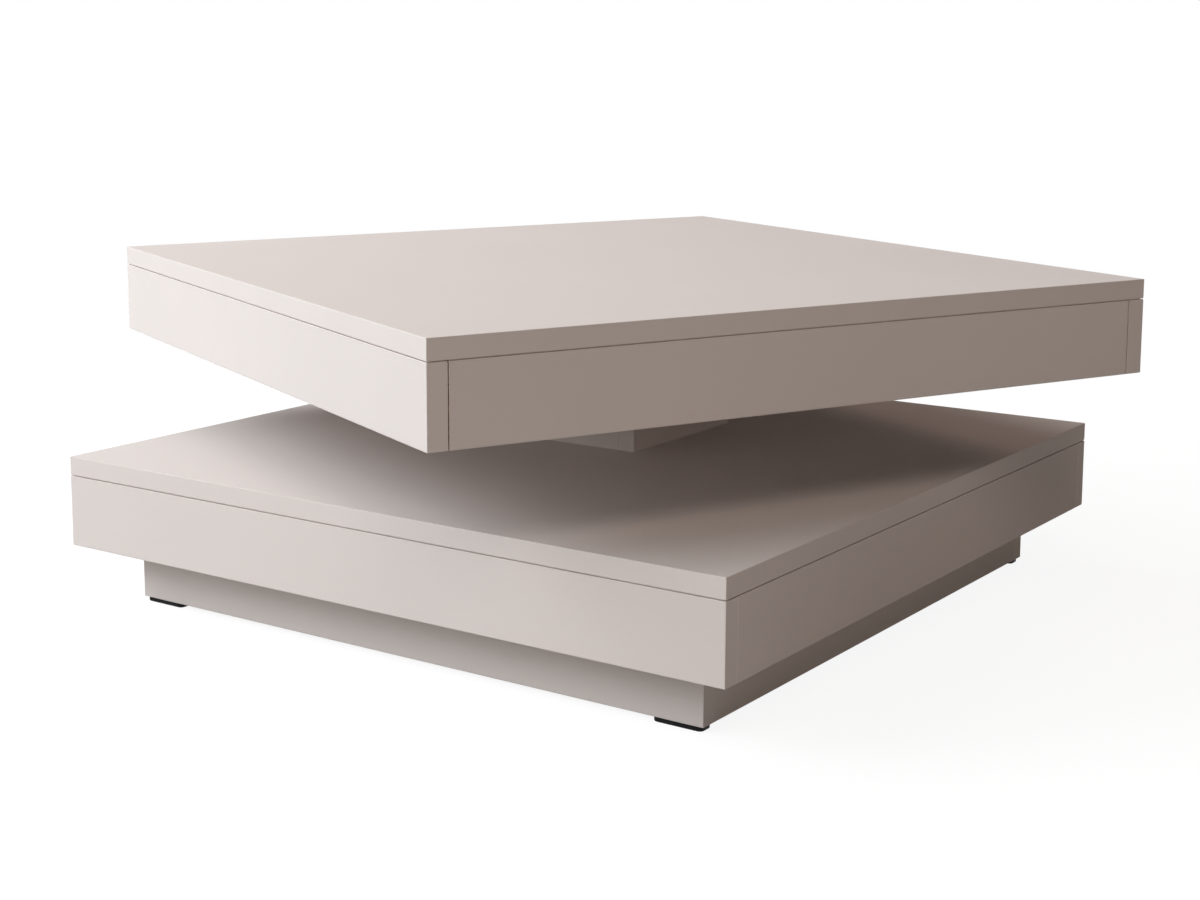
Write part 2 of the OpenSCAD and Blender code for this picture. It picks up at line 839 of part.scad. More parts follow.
module upper_cams() {
    color(zinc_colour) rotate([0, 0, top_turn]) frame_cam_joints(box_w, upper_z, apron_h) cam();
}

module upper_cam_bolts() {
    color(zinc_colour) rotate([0, 0, top_turn]) frame_cam_joints(box_w, upper_z, apron_h) cam_bolt();
}

module upper_dowels() {
    color(beech_colour) rotate([0, 0, top_turn]) frame_dowel_joints(box_w, upper_z, apron_h) dowel();
}

glide(-1, -1);  // glide_front_left
glide(1, -1);  // glide_front_right
glide(-1, 1);  // glide_back_left
glide(1, 1);  // glide_back_right
glide_screws();
plinth_side(-1);  // plinth_left
plinth_side(1);  // plinth_right
plinth_cross(-1);  // plinth_front
plinth_cross(1);  // plinth_back
plinth_stretcher();
plinth_cams();
plinth_cam_bolts();
plinth_dowels();
lower_side(-1);  // lower_left_apron
lower_side(1);  // lower_right_apron
lower_cross(-1);  // lower_front_apron
lower_cross(1);  // lower_back_apron
lower_floor_panel();
lower_rail(rail_left_x);  // lower_rail_left
lower_rail(rail_right_x);  // lower_rail_right
lower_top_panel();
lower_cams();
lower_cam_bolts();
lower_dowels();
inner_dowels();
column_cross(-1);  // column_front
column_cross(1);  // column_back
column_side(rail_left_x);  // column_left
column_side(rail_right_x);  // column_right
column_dowels();
column_screws();
swivel_carrier();
carrier_screws();
bearing_lower_plate();
bearing_lower_screws();
ball_cage();
bearing_balls();
bearing_upper_plate();
bearing_upper_screws();
upper_side(-1);  // upper_left_apron
upper_side(1);  // upper_right_apron
upper_cross(-1);  // upper_front_apron
upper_cross(1);  // upper_back_apron
upper_top_panel();
upper_cams();
upper_cam_bolts();
upper_dowels();
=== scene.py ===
# Looks of the swivel coffee table: modelled boards and glides, finishes, studio and camera.

import json
from math import pi, radians

import bpy
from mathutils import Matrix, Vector


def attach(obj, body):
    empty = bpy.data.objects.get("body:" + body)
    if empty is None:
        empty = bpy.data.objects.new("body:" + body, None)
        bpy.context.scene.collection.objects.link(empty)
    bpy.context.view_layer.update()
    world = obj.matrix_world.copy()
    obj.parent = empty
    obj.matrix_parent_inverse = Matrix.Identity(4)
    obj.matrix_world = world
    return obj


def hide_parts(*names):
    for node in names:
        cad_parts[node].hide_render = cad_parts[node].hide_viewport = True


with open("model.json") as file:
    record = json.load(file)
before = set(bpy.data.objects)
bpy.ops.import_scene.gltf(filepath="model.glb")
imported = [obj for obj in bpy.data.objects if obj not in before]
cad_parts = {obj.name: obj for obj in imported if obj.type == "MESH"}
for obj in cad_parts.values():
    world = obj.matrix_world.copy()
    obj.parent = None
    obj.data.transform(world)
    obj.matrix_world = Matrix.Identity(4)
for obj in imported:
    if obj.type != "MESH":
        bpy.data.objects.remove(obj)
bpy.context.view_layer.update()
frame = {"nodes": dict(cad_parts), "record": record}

# Blender's unit is the metre
MM = 0.001
X, Y, Z = range(3)

# The boxes, the column and the bearing between them, and the turn of the upper box, as in the CAD model
BOX_W = 780 * MM
APRON_H = 74 * MM
SHELF_GAP = 98 * MM
PLINTH_W = 680 * MM
PLINTH_H = 57.5 * MM
COLUMN_W = 190 * MM
COLUMN_D = 136 * MM
COLUMN_X = 60 * MM
BEARING_H = 9 * MM
TOP_TURN = radians(-25)

# Boards: thickness, radius of the edges, and the shadow groove under a top panel
BOARD_T = 19 * MM
EDGE_R = 0.5 * MM
GROOVE_H = 1 * MM
GROOVE_D = 2.5 * MM

# Gap at each end of a front or back board: tight in the plinth, widest in the box that turns
PLINTH_SEAM = 0.06 * MM
LOWER_SEAM = 0.28 * MM
UPPER_SEAM = 0.95 * MM

# Edge bands: thickness, and width of the hairline of glue between band and face
BAND_T = 1.1 * MM
GLUE_W = 0.12 * MM

# Cam bores: radius, depth from the inner face, and distance of the axis from the edge that is joined
CAM_R = 7.6 * MM
CAM_DEPTH = 13.5 * MM
CAM_SETBACK = 24 * MM
# Distance of those under a panel from the box's corner, and of those at a board's ends below its middle
CAM_CORNER = 130 * MM
CAM_DROP = 16 * MM
CAM_SIDES = 48

# Glides: as long as the photo shows them, which is 2.5 mm more at each end than the CAD's
GLIDE_W = 17 * MM
GLIDE_L = 50 * MM
GLIDE_T = 5 * MM
GLIDE_CORNER_R = 5 * MM
GLIDE_SOLE_R = 1.2 * MM
# Distance of a glide from the plinth's side and from its front or back
GLIDE_SIDE = 1.5 * MM
GLIDE_END = 2.5 * MM

# Screw holes of a glide: distance from its middle, recess of the head, height of its cone, and radii
SCREW_Y = 10 * MM
SCREW_RECESS = 1 * MM
SCREW_CONE_H = 2 * MM
SCREW_HEAD_R = 3.9 * MM
SCREW_SHANK_R = 2.1 * MM
SCREW_SIDES = 40

# How far the bits of the cam bores and screw holes run past the faces that they open
CAM_OVER = 1 * MM
SCREW_OVER = 3 * MM

# Levels above the floor
PLINTH_Z = GLIDE_T
LOWER_Z = PLINTH_Z + PLINTH_H
PANEL_Z = LOWER_Z + APRON_H
SHELF_Z = PANEL_Z + BOARD_T
BOX_RISE = APRON_H + BOARD_T + SHELF_GAP
UPPER_Z = LOWER_Z + BOX_RISE
COLUMN_TOP_Z = UPPER_Z + APRON_H - BEARING_H - BOARD_T


# Finishes

# Noise mostly stays between these two values
NOISE_LOW, NOISE_HIGH = 0.3, 0.7

# Sockets of a Mix node that mixes colours, by number because other sockets of it share their names
MIX_FACTOR, MIX_FIRST, MIX_SECOND, MIX_RESULT = 0, 6, 7, 2

# Warm grey-beige of the facing, as linear colour
CASHMERE = (0.708, 0.645, 0.610)


class Nodes:
    """The nodes of a material or a world, which start empty."""

    def __init__(self, owner):
        owner.use_nodes = True
        self.tree = owner.node_tree
        self.tree.nodes.clear()

    def add(self, kind, **sockets):
        """Adds a node and sets the input sockets that are given by name."""
        node = self.tree.nodes.new(kind)
        for name, value in sockets.items():
            node.inputs[name.replace("_", " ")].default_value = value
        return node

    def link(self, output, socket):
        self.tree.links.new(output, socket)

    def mixed_shaders(self, first, second, factor):
        """Mixes two shaders, with the second one alone where the factor is 1."""
        mix = self.add("ShaderNodeMixShader")
        for output, socket in zip((factor, first, second), mix.inputs):
            self.link(output, socket)
        return mix.outputs["Shader"]


class Finish(Nodes):
    """A material under construction. Patterns, values and colours are passed on as outputs of nodes."""

    def __init__(self, name, **sockets):
        self.material = bpy.data.materials.new(name)
        super().__init__(self.material)
        self.surface = self.add("ShaderNodeBsdfPrincipled", **sockets)
        output = self.add("ShaderNodeOutputMaterial")
        self.link(self.surface.outputs["BSDF"], output.inputs["Surface"])
        self.position = self.add("ShaderNodeTexCoord").outputs["Object"]
        self.relief = None

    def spaced(self, pattern, stretch):
        """Lays a pattern out in the object's metres, with its cells narrowed by `stretch` along each axis."""
        position = self.position
        if stretch:
            mapping = self.add("ShaderNodeMapping", Scale=stretch)
            self.link(position, mapping.inputs["Vector"])
            position = mapping.outputs["Vector"]
        self.link(position, pattern.inputs["Vector"])
        return pattern.outputs

    def noise(self, scale, detail=2, stretch=None):
        """Noise with `scale` cells per metre."""
        return self.spaced(self.add("ShaderNodeTexNoise", Scale=scale, Detail=detail), stretch)["Fac"]

    def cells(self, scale, stretch=None):
        """Outputs of random flakes or crystals, `scale` of them per metre."""
        return self.spaced(self.add("ShaderNodeTexVoronoi", Scale=scale), stretch)

    def spread(self, value, low, high, start=NOISE_LOW, end=NOISE_HIGH):
        """Maps the values between start and end to the range from low to high."""
        node = self.add("ShaderNodeMapRange", From_Min=start, From_Max=end, To_Min=low, To_Max=high)
        self.link(value, node.inputs["Value"])
        return node.outputs["Result"]

    def ramp(self, value, *stops):
        """Colours a pattern with a ramp of (position, linear colour) stops."""
        node = self.add("ShaderNodeValToRGB")
        band = node.color_ramp
        while len(band.elements) < len(stops):
            band.elements.new(0.5)
        for element, (position, colour) in zip(band.elements, stops):
            element.position = position
            element.color = (*colour, 1)
        self.link(value, node.inputs["Fac"])
        return node.outputs["Color"]

    def tones(self, noise, dark, light):
        """Colours a noise from a dark to a light tone."""
        return self.ramp(noise, (NOISE_LOW, dark), (NOISE_HIGH, light))

    def mixed_colours(self, first, second, blend="MIX"):
        """A node that mixes two colours. Its factor is still to be set or linked."""
        mix = self.add("ShaderNodeMix")
        mix.data_type = "RGBA"
        mix.blend_type = blend
        self.link(first, mix.inputs[MIX_FIRST])
        self.link(second, mix.inputs[MIX_SECOND])
        return mix

    def colour_from(self, colour):
        self.link(colour, self.surface.inputs["Base Color"])

    def roughness_from(self, value, low, high):
        self.link(self.spread(value, low, high), self.surface.inputs["Roughness"])

    def bump_from(self, height, depth, strength=1.0):
        """Raises the surface by up to `depth` metres where the pattern is bright, over any earlier bump."""
        bump = self.add("ShaderNodeBump", Strength=strength, Distance=depth)
        self.link(height, bump.inputs["Height"])
        if self.relief:
            self.link(self.relief, bump.inputs["Normal"])
        self.relief = bump.outputs["Normal"]
        self.link(self.relief, self.surface.inputs["Normal"])


def shade(colour, factor):
    return tuple(channel * factor for channel in colour)


def matt_laminate():
    """Super-matt melamine facing: an almost even warm grey-beige with a very fine pearl texture."""
    finish = Finish("cashmere_laminate", Specular_IOR_Level=0.02)
    cloud = finish.noise(5, detail=3)
    finish.colour_from(finish.tones(cloud, dark=shade(CASHMERE, 0.99), light=shade(CASHMERE, 1.01)))
    finish.roughness_from(finish.noise(90, detail=4), low=0.62, high=0.7)
    finish.bump_from(finish.noise(1800), depth=0.02 * MM, strength=0.5)
    finish.bump_from(finish.noise(12, detail=1), depth=0.4 * MM, strength=0.05)
    return finish.material


def edge_band():
    """Plastic edge band in the facing's colour, scraped and buffed a little smoother than it."""
    finish = Finish("cashmere_edge_band", Specular_IOR_Level=0.03)
    tone = shade(CASHMERE, 0.995)
    finish.colour_from(finish.tones(finish.noise(9), dark=shade(tone, 0.985), light=shade(tone, 1.01)))
    finish.roughness_from(finish.noise(160, detail=3), low=0.58, high=0.66)
    finish.bump_from(finish.noise(1500), depth=0.02 * MM, strength=0.35)
    return finish.material


def glue_line():
    """Hairline between a board's facing and its edge band."""
    finish = Finish("glue_hairline", Roughness=0.6)
    cloud = finish.noise(40)
    finish.colour_from(finish.tones(cloud, dark=shade(CASHMERE, 0.62), light=shade(CASHMERE, 0.8)))
    finish.bump_from(cloud, depth=0.05 * MM)
    return finish.material


def chip_patterns(finish, flatness=1.0):
    """Wood chips of a few millimetres and the grain on them, both thinner by `flatness` upwards."""
    chips = finish.cells(420, stretch=(1, 1, flatness))
    grain = finish.noise(900, detail=3, stretch=(0.3, 0.3, flatness))
    return chips, grain


def chip_colour(finish, chips, grain):
    """Chips from dark bark and glue to pale spruce, darker along their grain."""
    toned = finish.ramp(
        chips["Color"],
        (0.0, (0.20, 0.11, 0.05)),
        (0.25, (0.42, 0.27, 0.14)),
        (0.6, (0.58, 0.41, 0.24)),
        (1.0, (0.70, 0.54, 0.35)),
    )
    streaks = finish.ramp(grain, (0.2, (0.45, 0.42, 0.38)), (0.8, (1, 1, 1)))
    mix = finish.mixed_colours(toned, streaks, blend="MULTIPLY")
    mix.inputs[MIX_FACTOR].default_value = 0.45
    return mix.outputs[MIX_RESULT]


def raw_chipboard():
    """Sawn or bored chipboard, as inside the cam bores and on edges that no one sees."""
    finish = Finish("raw_chipboard", Specular_IOR_Level=0.25)
    chips, grain = chip_patterns(finish)
    finish.colour_from(chip_colour(finish, chips, grain))
    finish.roughness_from(grain, low=0.75, high=0.95)
    finish.bump_from(chips["Distance"], depth=0.4 * MM, strength=0.6)
    finish.bump_from(grain, depth=0.2 * MM, strength=0.5)
    return finish.material


def faced_chipboard():
    """Plain pale facing on a board's large faces and raw chipboard on its sawn edges and bores."""
    finish = Finish("faced_chipboard", Specular_IOR_Level=0.35)
    chips, grain = chip_patterns(finish, flatness=2.6)
    core = chip_colour(finish, chips, grain)
    cloud = finish.noise(60, detail=4)
    facing = finish.tones(cloud, dark=(0.632, 0.582, 0.542), light=(0.652, 0.602, 0.562))

    # The facing lies wherever the surface looks up or down
    geometry = finish.add("ShaderNodeNewGeometry")
    split = finish.add("ShaderNodeSeparateXYZ")
    finish.link(geometry.outputs["True Normal"], split.inputs["Vector"])
    upright = finish.add("ShaderNodeMath")
    upright.operation = "ABSOLUTE"
    finish.link(split.outputs["Z"], upright.inputs[0])
    on_face = finish.spread(upright.outputs["Value"], low=0, high=1, start=0.6, end=0.8)
    mix = finish.mixed_colours(core, facing)
    finish.link(on_face, mix.inputs[MIX_FACTOR])
    finish.colour_from(mix.outputs[MIX_RESULT])

    finish.roughness_from(grain, low=0.55, high=0.8)
    finish.bump_from(finish.noise(1400), depth=0.04 * MM, strength=0.5)
    return finish.material


def turned_beech():
    """Raw beech of the dowels, with fine dark streaks."""
    finish = Finish("turned_beech", Specular_IOR_Level=0.3)
    grain = finish.noise(300, detail=5, stretch=(1, 1, 0.2))
    finish.colour_from(
        finish.ramp(
            grain,
            (0.3, (0.42, 0.25, 0.12)),
            (0.55, (0.62, 0.42, 0.24)),
            (0.8, (0.70, 0.51, 0.31)),
        )
    )
    finish.roughness_from(grain, low=0.55, high=0.75)
    finish.bump_from(grain, depth=0.2 * MM, strength=0.6)
    return finish.material


def zinc_fitting():
    """Zinc of cams, bolts and screws: bright where turned, slightly clouded."""
    finish = Finish("zinc_fitting", Metallic=1.0)
    cloud = finish.noise(260, detail=4)
    finish.colour_from(finish.tones(cloud, dark=(0.50, 0.51, 0.53), light=(0.72, 0.73, 0.75)))
    finish.roughness_from(cloud, low=0.28, high=0.48)
    finish.bump_from(finish.noise(2600), depth=0.03 * MM, strength=0.5)
    return finish.material


def pressed_steel():
    """Zinc-plated sheet of the bearing's plates, with rolling marks and faint crystals."""
    finish = Finish("pressed_steel", Metallic=1.0)
    crystals = finish.cells(140)
    finish.colour_from(
        finish.ramp(crystals["Color"], (0.0, (0.55, 0.56, 0.57)), (1.0, (0.74, 0.75, 0.76)))
    )
    rolling = finish.noise(500, detail=3, stretch=(0.04, 1, 1))
    finish.roughness_from(rolling, low=0.26, high=0.42)
    finish.bump_from(rolling, depth=0.02 * MM, strength=0.5)
    return finish.material


def polished_balls():
    """Ground and polished bearing balls."""
    finish = Finish("polished_balls", Metallic=1.0)
    film = finish.noise(700, detail=3)
    finish.colour_from(finish.tones(film, dark=(0.68, 0.68, 0.69), light=(0.80, 0.80, 0.81)))
    finish.roughness_from(film, low=0.06, high=0.14)
    finish.bump_from(film, depth=0.005 * MM, strength=0.3)
    return finish.material


def natural_nylon():
    """Natural nylon of the ball cage, milky and slightly waxy."""
    finish = Finish(
        "natural_nylon", Specular_IOR_Level=0.5, Subsurface_Weight=0.08, Subsurface_Scale=2 * MM
    )
    cloud = finish.noise(120, detail=3)
    finish.colour_from(finish.tones(cloud, dark=(0.74, 0.72, 0.64), light=(0.82, 0.80, 0.74)))
    finish.roughness_from(cloud, low=0.35, high=0.5)
    finish.bump_from(finish.noise(1600), depth=0.03 * MM, strength=0.4)
    return finish.material


def moulded_black():
    """Moulded black polyethylene of the glides: fine spark-eroded grain and a soft shine."""
    finish = Finish("moulded_black", Specular_IOR_Level=0.12)
    cloud = finish.noise(150)
    finish.colour_from(finish.tones(cloud, dark=(0.004, 0.004, 0.004), light=(0.008, 0.0075, 0.0075)))
    finish.roughness_from(cloud, low=0.34, high=0.48)
    finish.bump_from(finish.noise(2200, detail=3), depth=0.04 * MM, strength=0.4)
    return finish.material


LAMINATE = matt_laminate()
BAND = edge_band()
GLUE = glue_line()
CHIPBOARD = raw_chipboard()
BLACK = moulded_black()

NODE_FINISHES = {
    "laminate": LAMINATE,
    "chipboard": faced_chipboard(),
    "beech": turned_beech(),
    "zinc": zinc_fitting(),
    "bearing_steel": pressed_steel(),
    "ball_steel": polished_balls(),
    "cage_plastic": natural_nylon(),
    "black_plastic": BLACK,
}

for part in frame["record"]["subparts"]:
    mesh = frame["nodes"][part["node"]].data
    mesh.materials.clear()
    mesh.materials.append(NODE_FINISHES[part["material_slot"]])


# Modelling helpers

# A face looks along an axis where its normal has more than this share along it
SQUARE = 0.999
# Edges between faces that meet at up to this angle are shaded smooth
SMOOTH_ANGLE = radians(40)


def deselect_all():
    if bpy.context.object and bpy.context.object.mode != "OBJECT":
        bpy.ops.object.mode_set(mode="OBJECT")
    bpy.ops.object.select_all(action="DESELECT")


def select_only(piece):
    deselect_all()
    piece.select_set(True)
    bpy.context.view_layer.objects.active = piece


def add_block(name, low, high):
    """A cube primitive over the box from low to high."""
    deselect_all()
    low, high = Vector(low), Vector(high)
    bpy.ops.mesh.primitive_cube_add(size=1, location=(low + high) / 2, scale=high - low)
    block = bpy.context.object
    block.name = name
    bpy.ops.object.transform_apply(location=True, rotation=True, scale=True)
    return block


def clear_selection(kind):
    """Leaves nothing selected in the active piece's mesh, and edit mode set to select parts of one kind."""
    bpy.ops.object.mode_set(mode="EDIT")
    bpy.ops.mesh.select_mode(type=kind)
    bpy.ops.mesh.select_all(action="DESELECT")
    bpy.ops.object.mode_set(mode="OBJECT")


def select_faces(piece, wanted):
    """Selects in edit mode the faces for which wanted(centre, normal) is true."""
    clear_selection("FACE")
    for face in piece.data.polygons:
        face.select = bool(wanted(face.center, face.normal))
    bpy.ops.object.mode_set(mode="EDIT")


def select_edges(piece, wanted):
    """Selects in edit mode the edges for which wanted(start, end) is true."""
    clear_selection("EDGE")
    points = piece.data.vertices
    for edge in piece.data.edges:
        start, end = (points[i].co for i in edge.vertices)
        edge.select = bool(wanted(start, end))
    bpy.ops.object.mode_set(mode="EDIT")


def round_selected(radius, segments):
    """Rounds the selected edges and leaves edit mode."""
    bpy.ops.mesh.bevel(offset=radius, segments=segments, profile=0.5, affect="EDGES")
    bpy.ops.object.mode_set(mode="OBJECT")


def extrude_up(height):
    bpy.ops.mesh.extrude_region_move(TRANSFORM_OT_translate={"value": (0, 0, height)})


def shade_smooth(piece):
    """Smooth bevels and bores beside faces that stay flat."""
    select_only(piece)
    bpy.ops.object.shade_smooth_by_angle(angle=SMOOTH_ANGLE)
    piece.modifiers.new("face_normals", "WEIGHTED_NORMAL").keep_sharp = True
    bpy.ops.object.modifier_apply(modifier="face_normals")


def cut_away(piece, bit, walls):
    """Cuts a bit out of a piece, with `walls` as the finish of the cut, and removes the bit."""
    bit.data.materials.append(walls)
    select_only(piece)
    cut = piece.modifiers.new("cut", "BOOLEAN")
    cut.operation = "DIFFERENCE"
    cut.solver = "EXACT"
    cut.material_mode = "TRANSFER"
    cut.object = bit
    bpy.ops.object.modifier_apply(modifier="cut")
    bpy.data.objects.remove(bit)


def copied(piece, name):
    """A copy of a piece with a mesh of its own."""
    select_only(piece)
    bpy.ops.object.duplicate()
    copy = bpy.context.object
    copy.name = name
    return copy


def frame_body(node):
    """The body that a CAD node belongs to."""
    for body, nodes in frame["record"]["behaviour"]["bodies"].items():
        if node in nodes:
            return body


def place(piece, node, turn=0.0, shift=(0, 0, 0)):
    """Turns a finished piece about the swivel axis, shifts it and puts it in its node's place."""
    select_only(piece)
    piece.rotation_euler.z = turn
    piece.location = shift
    bpy.ops.object.transform_apply(location=True, rotation=True, scale=True)
    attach(piece, frame_body(node))
    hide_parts(node)


# Boards

# Finishes of a board's faces, by their number in its list of materials
FACES, BANDS, HAIRLINES, RAW = range(4)


def both_ends(axis):
    """The sides of a board that look either way along an axis, as (axis, sign)."""
    return [(axis, 1), (axis, -1)]


def add_board(node, low, high, axis, raw_sides=()):
    """A board with its large faces across `axis`, edge bands round them, and raw_sides left sawn."""
    board = add_block(f"{node}_board", low, high)
    for material in (LAMINATE, BAND, GLUE, CHIPBOARD):
        board.data.materials.append(material)
    select_edges(board, lambda start, end: True)
    round_selected(EDGE_R, segments=3)

    # Each large face gets the hairline where the edge band meets it
    select_faces(board, lambda centre, normal: abs(normal[axis]) > SQUARE)
    bpy.ops.mesh.inset(thickness=BAND_T - EDGE_R, depth=0)
    bpy.ops.mesh.inset(thickness=GLUE_W, depth=0)
    bpy.ops.object.mode_set(mode="OBJECT")

    across = [a for a in (X, Y, Z) if a != axis]
    for face in board.data.polygons:
        from_edge = min(min(face.center[a] - low[a], high[a] - face.center[a]) for a in across)
        if any(face.normal[side] * sign > SQUARE for side, sign in raw_sides):
            face.material_index = RAW
        elif abs(face.normal[axis]) <= SQUARE or from_edge < BAND_T:
            face.material_index = BANDS
        elif from_edge < BAND_T + GLUE_W:
            face.material_index = HAIRLINES
        else:
            face.material_index = FACES
    return board


def drill_cam(board, centre, direction):
    """Bores a cam's round hole from `centre` on the inner face along `direction`."""
    deselect_all()
    direction = Vector(direction)
    bpy.ops.mesh.primitive_cylinder_add(
        vertices=CAM_SIDES,
        radius=CAM_R,
        depth=CAM_DEPTH + CAM_OVER,
        location=Vector(centre) + direction * (CAM_DEPTH - CAM_OVER) / 2,
        rotation=direction.to_track_quat("Z", "Y").to_euler(),
    )
    cut_away(board, bpy.context.object, CHIPBOARD)


def raise_land(board, low, high):
    """Raises an apron's top edge to the panel, between two corners in plan, behind the shadow groove."""
    for across in ((1, 0, 0), (0, 1, 0)):
        for corner in (low, high):
            bpy.ops.object.mode_set(mode="EDIT")
            bpy.ops.mesh.select_all(action="SELECT")
            bpy.ops.mesh.bisect(plane_co=(*corner, 0), plane_no=across)
            bpy.ops.object.mode_set(mode="OBJECT")

    def on_land(centre, normal):
        return normal.z > SQUARE and all(low[a] < centre[a] < high[a] for a in (X, Y))

    select_faces(board, on_land)
    extrude_up(GROOVE_H)
    bpy.ops.object.mode_set(mode="OBJECT")


def side_apron(node, w, z, h, groove):
    """Left side board of a box, of its full depth: its ends show on the front and back."""
    outer, inner = -w / 2, -w / 2 + BOARD_T
    raw_sides = [] if groove else [(Z, 1)]
    board = add_board(node, (outer, -w / 2, z), (inner, w / 2, z + h - groove), X, raw_sides)
    for sy in (-1, 1):
        drill_cam(board, (inner, sy * (w / 2 - CAM_CORNER), z + h - CAM_SETBACK), (-1, 0, 0))
    if groove:
        raise_land(board, (outer + GROOVE_D, -w / 2 + GROOVE_D), (inner, w / 2 - GROOVE_D))
    return board


def cross_apron(node, w, z, h, groove, seam):
    """Front board of a box, between its side boards, with a gap of `seam` at each end."""
    outer, inner = -w / 2, -w / 2 + BOARD_T
    reach = w / 2 - BOARD_T - seam
    raw_sides = both_ends(X) if groove else [*both_ends(X), (Z, 1)]
    board = add_board(node, (-reach, outer, z), (reach, inner, z + h - groove), Y, raw_sides)
    for sx in (-1, 1):
        drill_cam(board, (sx * (w / 2 - CAM_CORNER), inner, z + h - CAM_SETBACK), (0, -1, 0))
        corner_x = sx * (w / 2 - BOARD_T - CAM_SETBACK)
        drill_cam(board, (corner_x, inner, z + h / 2 - CAM_DROP), (0, -1, 0))
    if groove:
        raise_land(board, (-reach, outer + GROOVE_D), (reach, inner))
    return board


def add_apron_pair(board, node, opposite, turn):
    """Puts a board of a box in its place, and its copy, turned half round, in the opposite one."""
    shade_smooth(board)
    other = copied(board, f"{opposite}_board")
    place(board, node, turn)
    place(other, opposite, turn + pi)


def add_box(nodes, w, z, h, groove, seam, turn=0.0):
    """The boards that stand under a panel, for nodes in the order left, right, front and back."""
    left, right, front, back = nodes
    add_apron_pair(side_apron(left, w, z, h, groove), left, right, turn)
    add_apron_pair(cross_apron(front, w, z, h, groove, seam), front, back, turn)


def add_plain_board(node, low, high, axis, raw_sides=()):
    """A board with no bores, ready to be placed."""
    board = add_board(node, low, high, axis, raw_sides)
    shade_smooth(board)
    return board


def add_panels():
    """The shelf on the lower box and the table top on the upper one, which are alike."""
    half = BOX_W / 2
    shelf = add_plain_board("lower_top_panel", (-half, -half, PANEL_Z), (half, half, SHELF_Z), Z)
    table_top = copied(shelf, "upper_top_panel_board")
    place(shelf, "lower_top_panel")
    place(table_top, "upper_top_panel", TOP_TURN, (0, 0, BOX_RISE))


def add_stretcher():
    """Board on edge that runs from front to back through the middle of the plinth."""
    reach = PLINTH_W / 2 - BOARD_T
    low, high = (-BOARD_T / 2, -reach, PLINTH_Z), (BOARD_T / 2, reach, LOWER_Z)
    stretcher = add_plain_board("plinth_stretcher", low, high, X, both_ends(Y))
    place(stretcher, "plinth_stretcher")


def add_upright(node, low, high, axis):
    """A board of the column, between two corners in plan, from the shelf up to the bearing's carrier."""
    return add_plain_board(node, (*low, SHELF_Z), (*high, COLUMN_TOP_Z), axis, both_ends(Z))


def add_column():
    """The upright boards that carry the bearing: front and back, and left and right between them."""
    left, right = COLUMN_X - COLUMN_W / 2, COLUMN_X + COLUMN_W / 2
    front, inside = -COLUMN_D / 2, -COLUMN_D / 2 + BOARD_T
    face = add_upright("column_front", (left, front), (right, inside), Y)
    cheek = add_upright("column_left", (left, inside), (left + BOARD_T, -inside), X)
    for board, node, opposite, shift in (
        (face, "column_front", "column_back", (0, COLUMN_D - BOARD_T, 0)),
        (cheek, "column_left", "column_right", (COLUMN_W - BOARD_T, 0, 0)),
    ):
        other = copied(board, f"{opposite}_board")
        place(board, node)
        place(other, opposite, shift=shift)


SIDES = ("left", "right", "front", "back")
PLINTH_NODES = [f"plinth_{side}" for side in SIDES]
LOWER_NODES = [f"lower_{side}_apron" for side in SIDES]
UPPER_NODES = [f"upper_{side}_apron" for side in SIDES]

add_box(PLINTH_NODES, PLINTH_W, PLINTH_Z, PLINTH_H, groove=0, seam=PLINTH_SEAM)
add_box(LOWER_NODES, BOX_W, LOWER_Z, APRON_H, groove=GROOVE_H, seam=LOWER_SEAM)
add_box(UPPER_NODES, BOX_W, UPPER_Z, APRON_H, groove=GROOVE_H, seam=UPPER_SEAM, turn=TOP_TURN)

add_panels()
add_stretcher()
add_column()


# Glides


def cut_screw_hole(glide, sole):
    """Hole for one screw: straight up to the head's seat, then a cone, then the shank."""
    deselect_all()
    bpy.ops.mesh.primitive_cylinder_add(
        vertices=SCREW_SIDES,
        radius=SCREW_HEAD_R,
        depth=SCREW_RECESS + SCREW_OVER,
        location=sole + Vector((0, 0, (SCREW_RECESS - SCREW_OVER) / 2)),
    )
    bit = bpy.context.object
    bpy.ops.object.transform_apply(location=True)
    select_faces(bit, lambda centre, normal: normal.z > SQUARE)
    narrow = SCREW_SHANK_R / SCREW_HEAD_R
    extrude_up(SCREW_CONE_H)
    bpy.ops.transform.resize(value=(narrow, narrow, 1), center_override=sole)
    extrude_up(GLIDE_T - SCREW_RECESS - SCREW_CONE_H + SCREW_OVER)
    bpy.ops.object.mode_set(mode="OBJECT")
    cut_away(glide, bit, BLACK)


def glide_pad():
    """Moulded pad with rounded corners, a rounded sole and two countersunk screw holes."""
    low, high = (-GLIDE_W / 2, -GLIDE_L / 2, 0), (GLIDE_W / 2, GLIDE_L / 2, GLIDE_T)
    glide = add_block("glide_pad", low, high)
    glide.data.materials.append(BLACK)
    select_edges(glide, lambda start, end: abs(start.z - end.z) > GLIDE_T / 2)
    round_selected(GLIDE_CORNER_R, segments=8)
    select_faces(glide, lambda centre, normal: normal.z < -SQUARE)
    round_selected(GLIDE_SOLE_R, segments=4)
    for y in (-SCREW_Y, SCREW_Y):
        cut_screw_hole(glide, Vector((0, y, 0)))
    shade_smooth(glide)
    return glide


def add_glides():
    """One glide under each corner of the plinth."""
    x = PLINTH_W / 2 - GLIDE_SIDE - GLIDE_W / 2
    y = PLINTH_W / 2 - GLIDE_END - GLIDE_L / 2
    pad = glide_pad()
    for sy, end in ((-1, "front"), (1, "back")):
        for sx, side in ((-1, "left"), (1, "right")):
            node = f"glide_{end}_{side}"
            place(copied(pad, f"{node}_pad"), node, shift=(sx * x, sy * y, 0))
    bpy.data.objects.remove(pad)


add_glides()


# Studio

